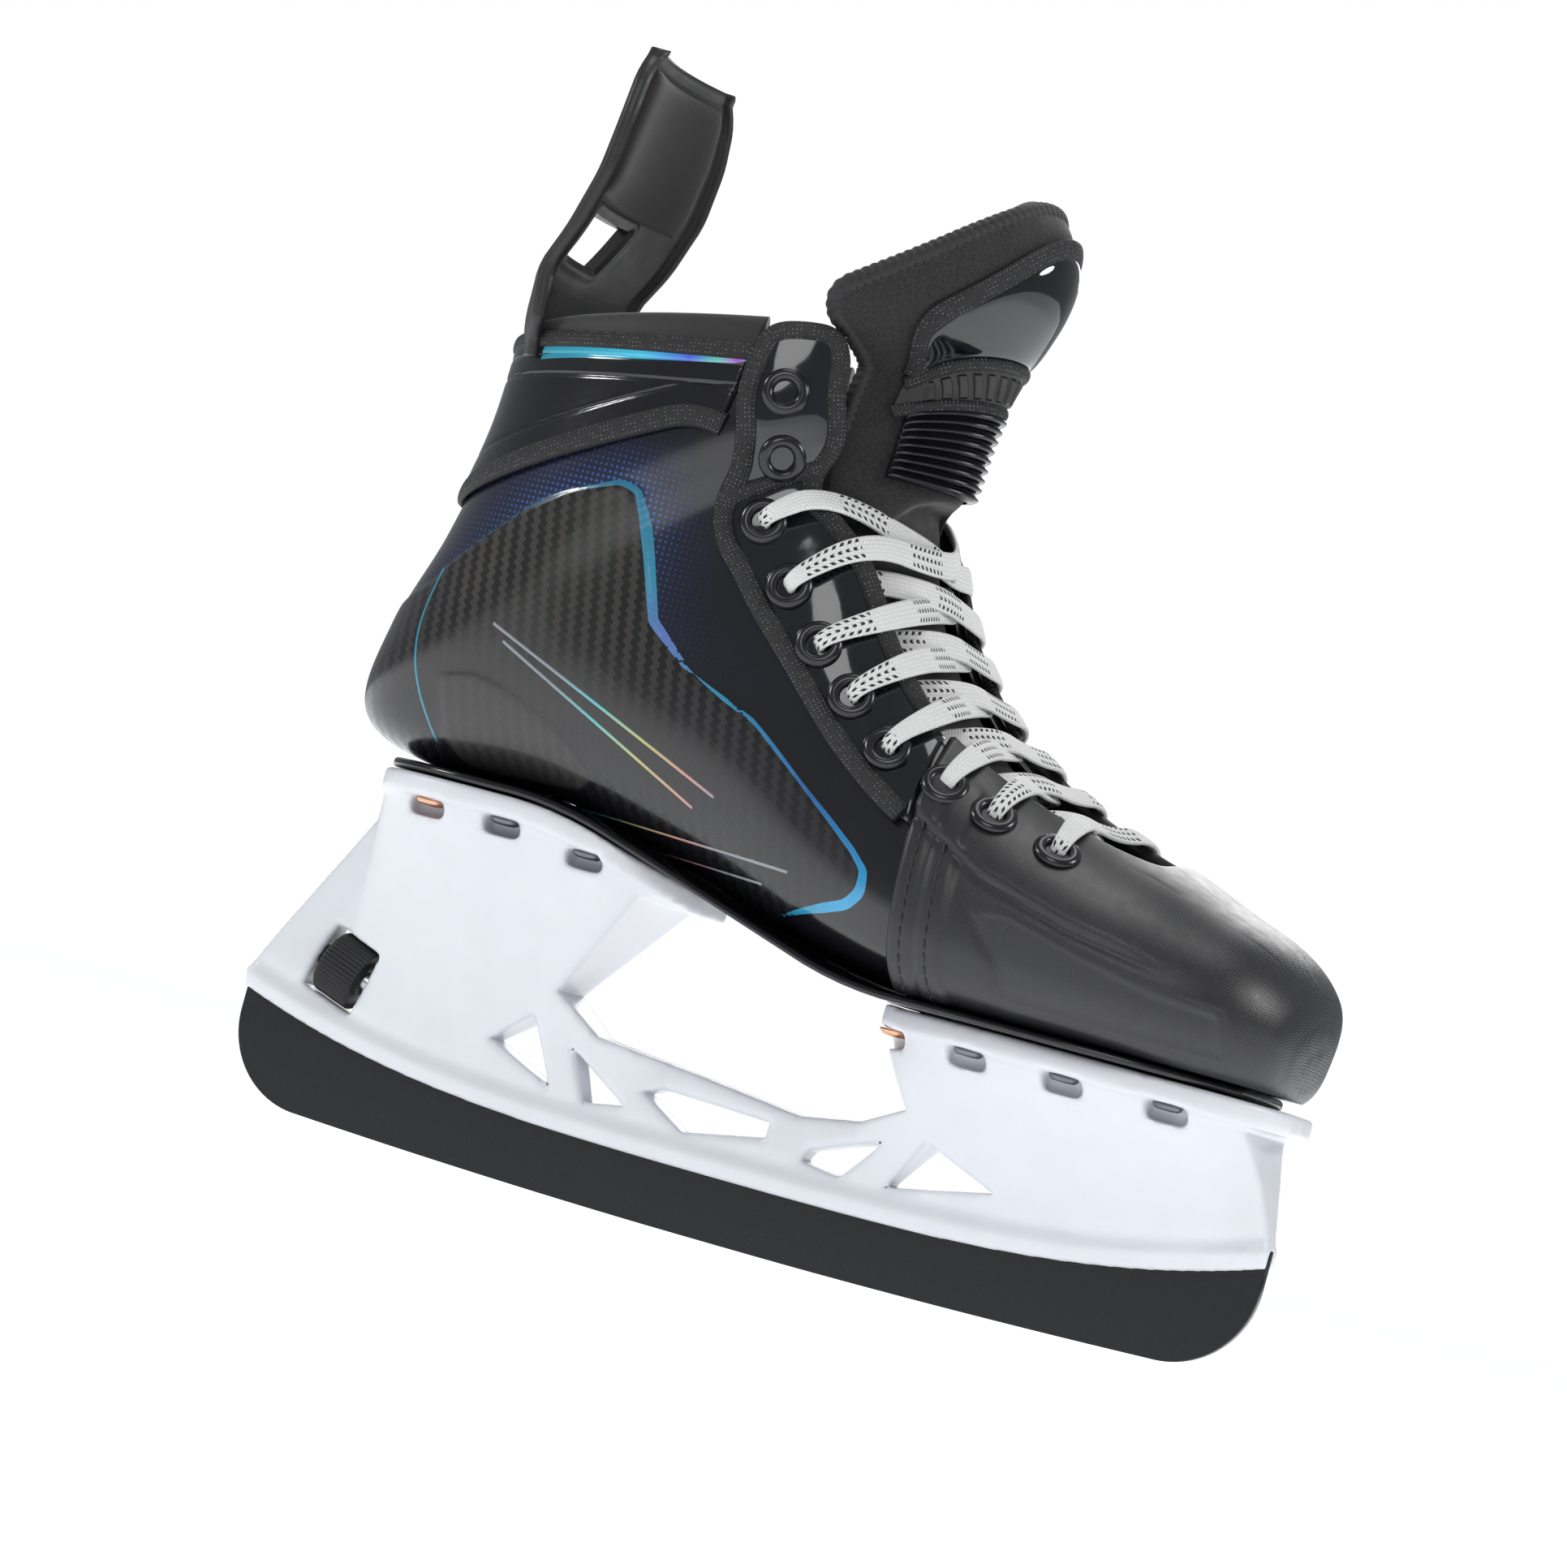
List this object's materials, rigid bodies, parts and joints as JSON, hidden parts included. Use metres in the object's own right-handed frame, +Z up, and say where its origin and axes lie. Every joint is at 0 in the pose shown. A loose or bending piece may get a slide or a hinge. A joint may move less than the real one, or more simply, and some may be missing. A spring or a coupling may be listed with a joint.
{
  "type": "ice hockey skate",
  "caption": "Right-foot ice hockey skate: laced boot with toe cap, padded tongue and flexing tendon guard, on a truss blade holder with a removable locked steel runner.",
  "frame": {"origin": "on the ice under the middle of the object, halfway along its length", "axes": "+X towards the toe, +Y towards the inner side of the foot (a right-foot boot), +Z up; the steel stands on Z = 0"},
  "size_m": [0.2964, 0.1072, 0.304],
  "materials": {
    "ankle_cuff": "black, glossy",
    "blade_holder": "white moulded plastic, glossy",
    "collar_pad": "black padded cloth",
    "copper_rivets": "copper coloured",
    "eyelets": "black coated metal, glossy",
    "facings": "black patent, woven edge binding",
    "footbed": "dark grey foam with a cloth face",
    "inner_liner": "black knitted lining",
    "lace": "white woven, with a dark fleck",
    "lock_stud": "plain threaded steel",
    "lock_wheel": "black moulded plastic, knurled",
    "outsole": "black composite board",
    "quarter_shell": "black textured composite with printed blue and grey panels",
    "runner": "black coated steel, satin",
    "steel_rivets": "dark steel",
    "tendon_guard": "black moulded plastic, matte",
    "tendon_guard_pad": "black padded cloth",
    "toe_cap": "dark moulded plastic with a mesh sheen",
    "tongue_band": "black embossed band",
    "tongue_felt": "grey-black felt with a rolled edge",
    "tongue_ribs": "black glossy moulded ribs",
    "tongue_shield": "black glossy moulded plate"
  },
  "bodies": {
    "boot": {"ankle_cuff": "ankle_cuff", "blade_holder": "blade_holder", "collar_pad": "collar_pad", "eyelet_inner_1": "eyelets", "eyelet_inner_10": "eyelets", "eyelet_inner_2": "eyelets", "eyelet_inner_3": "eyelets", "eyelet_inner_4": "eyelets", "eyelet_inner_5": "eyelets", "eyelet_inner_6": "eyelets", "eyelet_inner_7": "eyelets", "eyelet_inner_8": "eyelets", "eyelet_inner_9": "eyelets", "eyelet_outer_1": "eyelets", "eyelet_outer_10": "eyelets", "eyelet_outer_2": "eyelets", "eyelet_outer_3": "eyelets", "eyelet_outer_4": "eyelets", "eyelet_outer_5": "eyelets", "eyelet_outer_6": "eyelets", "eyelet_outer_7": "eyelets", "eyelet_outer_8": "eyelets", "eyelet_outer_9": "eyelets", "facing_inner": "facings", "facing_outer": "facings", "footbed": "footbed", "inner_liner": "inner_liner", "lace": "lace", "outsole": "outsole", "quarter_shell": "quarter_shell", "rivet_front_inner_1": "copper_rivets", "rivet_front_inner_2": "steel_rivets", "rivet_front_inner_3": "steel_rivets", "rivet_front_inner_4": "steel_rivets", "rivet_front_outer_1": "copper_rivets", "rivet_front_outer_2": "steel_rivets", "rivet_front_outer_3": "steel_rivets", "rivet_front_outer_4": "steel_rivets", "rivet_rear_inner_1": "copper_rivets", "rivet_rear_inner_2": "steel_rivets", "rivet_rear_inner_3": "steel_rivets", "rivet_rear_outer_1": "copper_rivets", "rivet_rear_outer_2": "steel_rivets", "rivet_rear_outer_3": "steel_rivets", "tendon_guard_base": "tendon_guard", "toe_cap": "toe_cap", "tongue_lower": "tongue_felt"},
    "steel": {"runner": "runner"},
    "wheel": {"lock_wheel": "lock_wheel"},
    "stud": {"lock_stud": "lock_stud"},
    "guard": {"tendon_guard": "tendon_guard", "tendon_guard_pad": "tendon_guard_pad"},
    "tongue_top": {"tongue_upper": "tongue_felt", "tongue_ribs": "tongue_ribs", "tongue_band": "tongue_band", "tongue_shield": "tongue_shield"}
  },
  "joints": [
    {"name": "runner_drop", "type": "slide", "parent": "boot", "child": "steel", "axis": [0, 0, -1], "range_m": [0, 0.03]},
    {"name": "lock_turn", "type": "hinge", "parent": "boot", "child": "wheel", "pos_m": [-0.121, 0, 0.044], "axis": [0.9511, 0, -0.309], "range_deg": [0, 540]},
    {"name": "stud_slide", "type": "slide", "parent": "boot", "child": "stud", "axis": [-0.9511, 0, 0.309], "range_m": [0, 0.003]},
    {"name": "guard_flex", "type": "hinge", "parent": "boot", "child": "guard", "pos_m": [-0.119, 0, 0.2265], "axis": [0, 1, 0], "range_deg": [-25, 0], "stiffness_Nm_per_rad": 2},
    {"name": "tongue_fold", "type": "hinge", "parent": "boot", "child": "tongue_top", "pos_m": [0.015, 0, 0.2055], "axis": [0, 1, 0], "range_deg": [0, 35], "stiffness_Nm_per_rad": 2}
  ],
  "couplings": [
    {"joint": "stud_slide", "follows": "lock_turn", "m_per_rad": 0.00031831}
  ]
}
